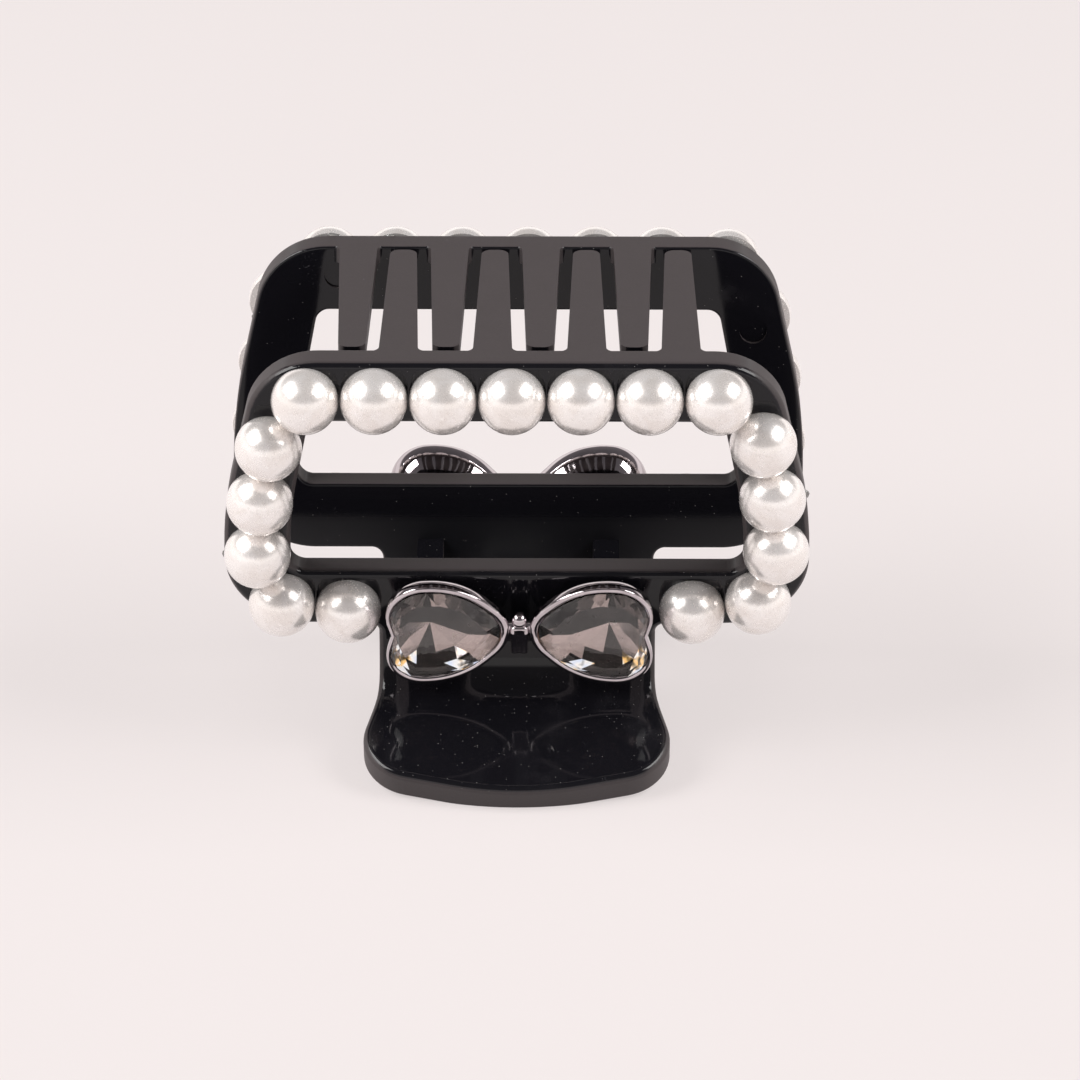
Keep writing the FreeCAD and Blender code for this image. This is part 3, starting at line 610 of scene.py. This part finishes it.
HINGE_Z = 18.0
COIL_RADIUS = 3.0
COIL_PITCH = 1.35
WIRE_RADIUS = 0.55
COIL_STEPS = 48
# where the handle's bend has its centre, from the clip's middle plane and from the floor
BEND_CENTRE = (22.4, 17.2)
BEND_WRAP = 14.2
FOOT_LENGTH = 8.0


def spring_leg(start, ahead, inward, turn, reach):
    """Straight to the bend, round its inner face, then along the underside of the handle."""
    points = [start + ahead * (reach * k / 10) for k in range(1, 11)]
    touch = points[-1]
    centre = touch + inward * BEND_WRAP
    for k in range(1, 17):
        angle = turn * k / 16
        points.append(centre - inward * (BEND_WRAP * math.cos(angle)) + ahead * (BEND_WRAP * math.sin(angle)))
    onward = (ahead * math.cos(turn) + inward * math.sin(turn)).normalized()
    points += [points[-1] + onward * (FOOT_LENGTH * k / 4) for k in range(1, 5)]
    return points


def spring_line():
    """The wire's centre line: leg, coil and leg, the same when turned half round about Z."""
    axis = Vector((0, 0, HINGE_Z))
    bend = Vector((0, BEND_CENTRE[0], BEND_CENTRE[1])) - axis
    fall = math.asin((COIL_RADIUS + BEND_WRAP) / bend.length) - math.atan2(bend.z, bend.y)
    turns = 6 + fall / math.pi
    length = COIL_PITCH * turns
    inward = Vector((0, math.sin(fall), math.cos(fall)))
    start = axis - Vector((length / 2, 0, 0)) + inward * COIL_RADIUS
    lead = math.atan2(COIL_PITCH, 2 * math.pi * COIL_RADIUS)
    ahead = Vector((-math.sin(lead), math.cos(lead) * math.cos(fall), -math.cos(lead) * math.sin(fall)))
    flat = Vector((0, ahead.y, ahead.z))
    reach = (bend + axis - start).dot(flat) / flat.length_squared
    leg = spring_leg(start, ahead, inward, fall - HANDLE_SLOPE, reach)
    half_turn = Matrix.Rotation(math.pi, 4, "Z")
    other = [half_turn @ p for p in leg]
    steps = int(turns * COIL_STEPS)
    begin = math.atan2(inward.z, inward.y)
    coil = []
    for k in range(steps + 1):
        share = k / steps
        angle = begin + 2 * math.pi * turns * share
        height = HINGE_Z + COIL_RADIUS * math.sin(angle)
        coil.append(Vector((length * (share - 0.5), COIL_RADIUS * math.cos(angle), height)))
    return leg[::-1] + coil + other, length / 2


# ---------------------------------------------------------------- glue

GLUE_OFFSET = 4.65
BLOB_ROWS = 8
BLOB_SIDES = 14


def build_glue(side):
    """Small clear blobs on the skin at the edge of some pearls."""
    rng = random.Random(41 if side == "front" else 42)
    outward = -1 if side == "front" else 1
    points = []
    faces = []
    for number in PEARL_NUMBERS:
        low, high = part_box(f"{side}_pearl_{number:02d}")
        centre = (low + high) / 2 / MM
        back = (high.y if side == "front" else low.y) / MM
        for _ in range(rng.choice((0, 1, 1, 2))):
            angle = rng.uniform(0, 2 * math.pi)
            size = rng.uniform(0.45, 0.85)
            aside = Vector((math.cos(angle), 0, math.sin(angle))) * GLUE_OFFSET
            spot = Vector((centre.x, back + outward * 0.15, centre.z)) + aside
            stretch = rng.uniform(1.0, 1.8)
            first = len(points)
            points += glue_blob(spot, angle, size, stretch, number)
            faces += [tuple(first + i for i in face) for face in ring_strip(BLOB_ROWS + 1, BLOB_SIDES)]
    return make_object(f"{side}_glue", points, faces)


def glue_blob(spot, angle, size, stretch, phase):
    """A flattened drop, drawn out along the edge of its pearl and a little uneven."""
    points = []
    for row in range(BLOB_ROWS + 1):
        tilt = math.pi * min(max(row / BLOB_ROWS, 0.02), 0.98)
        for k in range(BLOB_SIDES):
            turn = 2 * math.pi * k / BLOB_SIDES
            wobble = size * (1 + 0.15 * math.sin(3 * turn + phase))
            along = wobble * stretch * math.sin(tilt) * math.cos(turn)
            across = wobble * math.sin(tilt) * math.sin(turn)
            points.append(spot + Vector((
                -math.sin(angle) * along + math.cos(angle) * across,
                0.55 * size * math.cos(tilt),
                math.cos(angle) * along + math.sin(angle) * across)))
    return points


# ---------------------------------------------------------------- set

FLOOR_TINT = (0.82, 0.762, 0.755)
FLOOR_GLOW = 0.70
CAMERA_TARGET = Vector((3.41, 0, 27.4)) * MM
CAMERA_DISTANCE = 890 * MM
CAMERA_ELEVATION = math.radians(30)
CAMERA_YAW = math.radians(0.3)
CAMERA_LENS = 193.4
SOFTBOX_TINT = (1.0, 0.985, 0.975)
# name, place, width, height and power
SOFTBOXES = (
    ("softbox_left", (-0.83, -0.15, 0.85), 0.86, 0.58, 13.5),
    ("softbox_right", (0.83, -0.15, 0.85), 0.80, 0.48, 10.5),
)


def build_camera():
    """A long lens, a little above the clip and straight before it."""
    data = bpy.data.cameras.new("camera")
    data.lens = CAMERA_LENS
    data.clip_start = 0.05
    camera = bpy.data.objects.new("camera", data)
    bpy.context.scene.collection.objects.link(camera)
    level = math.cos(CAMERA_ELEVATION)
    away = Vector((math.sin(CAMERA_YAW) * level, -math.cos(CAMERA_YAW) * level, math.sin(CAMERA_ELEVATION)))
    camera.location = CAMERA_TARGET + away * CAMERA_DISTANCE
    camera.rotation_euler = (-away).to_track_quat("-Z", "Y").to_euler()
    bpy.context.scene.camera = camera


def softbox(name, place, width, height, power):
    """A soft rectangular lamp that faces the clip."""
    data = bpy.data.lights.new(name, "AREA")
    data.shape = "RECTANGLE"
    data.size = width
    data.size_y = height
    data.energy = power
    data.color = SOFTBOX_TINT
    lamp = bpy.data.objects.new(name, data)
    bpy.context.scene.collection.objects.link(lamp)
    lamp.location = place
    lamp.rotation_euler = (Vector((0, 0, 0.03)) - Vector(place)).to_track_quat("-Z", "Y").to_euler()


def build_world():
    """A dim studio that is pale near the floor's horizon."""
    world = bpy.data.worlds.new("studio")
    world.use_nodes = True
    bpy.context.scene.world = world
    tree = world.node_tree
    tree.nodes.clear()
    coords = tree.nodes.new("ShaderNodeTexCoord")
    split = tree.nodes.new("ShaderNodeSeparateXYZ")
    ramp = tree.nodes.new("ShaderNodeValToRGB")
    background = tree.nodes.new("ShaderNodeBackground")
    out = tree.nodes.new("ShaderNodeOutputWorld")
    stops = ramp.color_ramp.elements
    stops[0].position, stops[0].color = 0.27, (1.15, 1.09, 1.07, 1)
    stops[1].position, stops[1].color = 1.0, (0.10, 0.095, 0.10, 1)
    middle = stops.new(0.36)
    middle.color = (0.20, 0.185, 0.19, 1)
    tree.links.new(coords.outputs["Generated"], split.inputs[0])
    tree.links.new(split.outputs[2], ramp.inputs[0])
    tree.links.new(ramp.outputs[0], background.inputs["Color"])
    background.inputs["Strength"].default_value = 1.0
    tree.links.new(background.outputs[0], out.inputs[0])


def build_floor():
    """A wide sheet of pale paper under the handles."""
    reach = 2600
    count = 24
    points = [(-reach + 2 * reach * i / count, -reach + 2 * reach * j / count, 0)
              for j in range(count + 1) for i in range(count + 1)]
    row = count + 1
    corners = [j * row + i for j in range(count) for i in range(count)]
    faces = [(c, c + 1, c + row + 1, c + row) for c in corners]
    floor = make_object("floor", points, faces)
    floor.location.z = -0.0001
    dress(floor, floor_material())


# ---------------------------------------------------------------- assembly

build_camera()
build_world()
build_floor()
for softbox_settings in SOFTBOXES:
    softbox(*softbox_settings)

JAW = jaw_material()
PEARL = pearl_material()
CHROME = chrome_material()
STONE = stone_material()
FOIL = foil_material()
STEEL = steel_material()
GLUE = glue_material()

for side in SIDES:
    dress(nodes[f"{side}_jaw"], JAW, smooth=False)
    for number in PEARL_NUMBERS:
        dress(nodes[f"{side}_pearl_{number:02d}"], PEARL, smooth=False)
    body = f"{side}_jaw"
    glue = dress(build_glue(side), GLUE)
    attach(glue, body)
    metal = dress(build_setting(side), CHROME)
    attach(metal, body)
    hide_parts(f"{side}_bow_setting")
    for label in ("left", "right"):
        outer_low, outer_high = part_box(f"{side}_{label}_stone")
        at_right = (outer_low.x + outer_high.x) > 0
        mirror = 1 if at_right == (side == "front") else -1
        glass, foil = build_stone(side, label, mirror)
        fit_to((glass, foil), f"{side}_{label}_stone")
        dress(glass, STONE, smooth=False)
        dress(foil, FOIL, smooth=False)
        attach(glass, body)
        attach(foil, body)
        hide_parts(f"{side}_{label}_stone")

dress(nodes["hinge_pin"], STEEL, smooth=False)
line, coil_half = spring_line()
spring = dress(make_object("spring_wire", *tube(line, WIRE_RADIUS, 20)), STEEL)
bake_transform(spring)
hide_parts("torsion_spring")

bpy.context.scene.view_settings.view_transform = "Standard"
